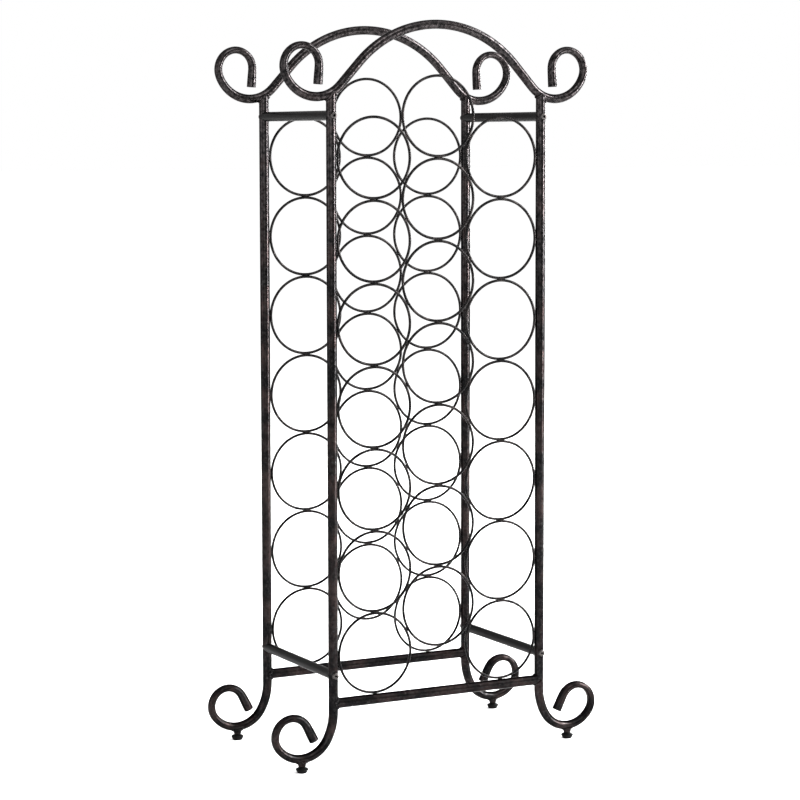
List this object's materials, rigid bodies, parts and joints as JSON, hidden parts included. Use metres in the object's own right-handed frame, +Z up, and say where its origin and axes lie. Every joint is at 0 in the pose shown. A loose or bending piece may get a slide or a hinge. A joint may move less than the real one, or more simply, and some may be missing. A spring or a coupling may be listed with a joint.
{
  "type": "wine rack",
  "caption": "Tall free-standing wine rack: front and back panels of honeycomb-packed wire rings between scrolled tube posts, with arched tops, bolted tie bars and levelling feet",
  "frame": {"origin": "on the floor, under the middle of the rack", "axes": "+X to the right as seen from the front, +Y from the front panel to the back panel, +Z up"},
  "size_m": [0.4814, 0.223, 0.961],
  "materials": {
    "bronze_black_coat": "near-black bronze powder coat, semi-gloss with a fine mottle",
    "black_wire_coat": "black powder coat on wire, semi-gloss",
    "blackened_screw_steel": "black oxide, satin",
    "zinc_plated_steel": "zinc plated",
    "black_plastic": "moulded, matte"
  },
  "bodies": {
    "root": {"arch_front": "bronze_black_coat", "bottom_rail_front": "bronze_black_coat", "rings_front_left": "black_wire_coat", "rings_front_middle": "black_wire_coat", "rings_front_right": "black_wire_coat", "post_front_left": "bronze_black_coat", "boss_front_left": "bronze_black_coat", "foot_plug_front_left": "black_plastic", "arch_plug_front_left": "black_plastic", "post_front_right": "bronze_black_coat", "boss_front_right": "bronze_black_coat", "foot_plug_front_right": "black_plastic", "arch_plug_front_right": "black_plastic", "arch_back": "bronze_black_coat", "bottom_rail_back": "bronze_black_coat", "rings_back_left": "black_wire_coat", "rings_back_middle": "black_wire_coat", "rings_back_right": "black_wire_coat", "post_back_left": "bronze_black_coat", "boss_back_left": "bronze_black_coat", "foot_plug_back_left": "black_plastic", "arch_plug_back_left": "black_plastic", "post_back_right": "bronze_black_coat", "boss_back_right": "bronze_black_coat", "foot_plug_back_right": "black_plastic", "arch_plug_back_right": "black_plastic", "tie_bar_lower_left": "bronze_black_coat", "insert_lower_left_front": "zinc_plated_steel", "screw_lower_left_front": "blackened_screw_steel", "insert_lower_left_back": "zinc_plated_steel", "screw_lower_left_back": "blackened_screw_steel", "tie_bar_lower_right": "bronze_black_coat", "insert_lower_right_front": "zinc_plated_steel", "screw_lower_right_front": "blackened_screw_steel", "insert_lower_right_back": "zinc_plated_steel", "screw_lower_right_back": "blackened_screw_steel", "tie_bar_upper_left": "bronze_black_coat", "insert_upper_left_front": "zinc_plated_steel", "screw_upper_left_front": "blackened_screw_steel", "insert_upper_left_back": "zinc_plated_steel", "screw_upper_left_back": "blackened_screw_steel", "tie_bar_upper_right": "bronze_black_coat", "insert_upper_right_front": "zinc_plated_steel", "screw_upper_right_front": "blackened_screw_steel", "insert_upper_right_back": "zinc_plated_steel", "screw_upper_right_back": "blackened_screw_steel"},
    "foot_front_left": {"foot_stud_front_left": "zinc_plated_steel", "foot_pad_front_left": "black_plastic"},
    "foot_front_right": {"foot_stud_front_right": "zinc_plated_steel", "foot_pad_front_right": "black_plastic"},
    "foot_back_left": {"foot_stud_back_left": "zinc_plated_steel", "foot_pad_back_left": "black_plastic"},
    "foot_back_right": {"foot_stud_back_right": "zinc_plated_steel", "foot_pad_back_right": "black_plastic"}
  },
  "joints": [
    {"name": "foot_screw_front_left", "type": "slide", "parent": "root", "child": "foot_front_left", "axis": [0, 0, 1], "range_m": [-0.008, 0]},
    {"name": "foot_screw_front_right", "type": "slide", "parent": "root", "child": "foot_front_right", "axis": [0, 0, 1], "range_m": [-0.008, 0]},
    {"name": "foot_screw_back_left", "type": "slide", "parent": "root", "child": "foot_back_left", "axis": [0, 0, 1], "range_m": [-0.008, 0]},
    {"name": "foot_screw_back_right", "type": "slide", "parent": "root", "child": "foot_back_right", "axis": [0, 0, 1], "range_m": [-0.008, 0]}
  ]
}
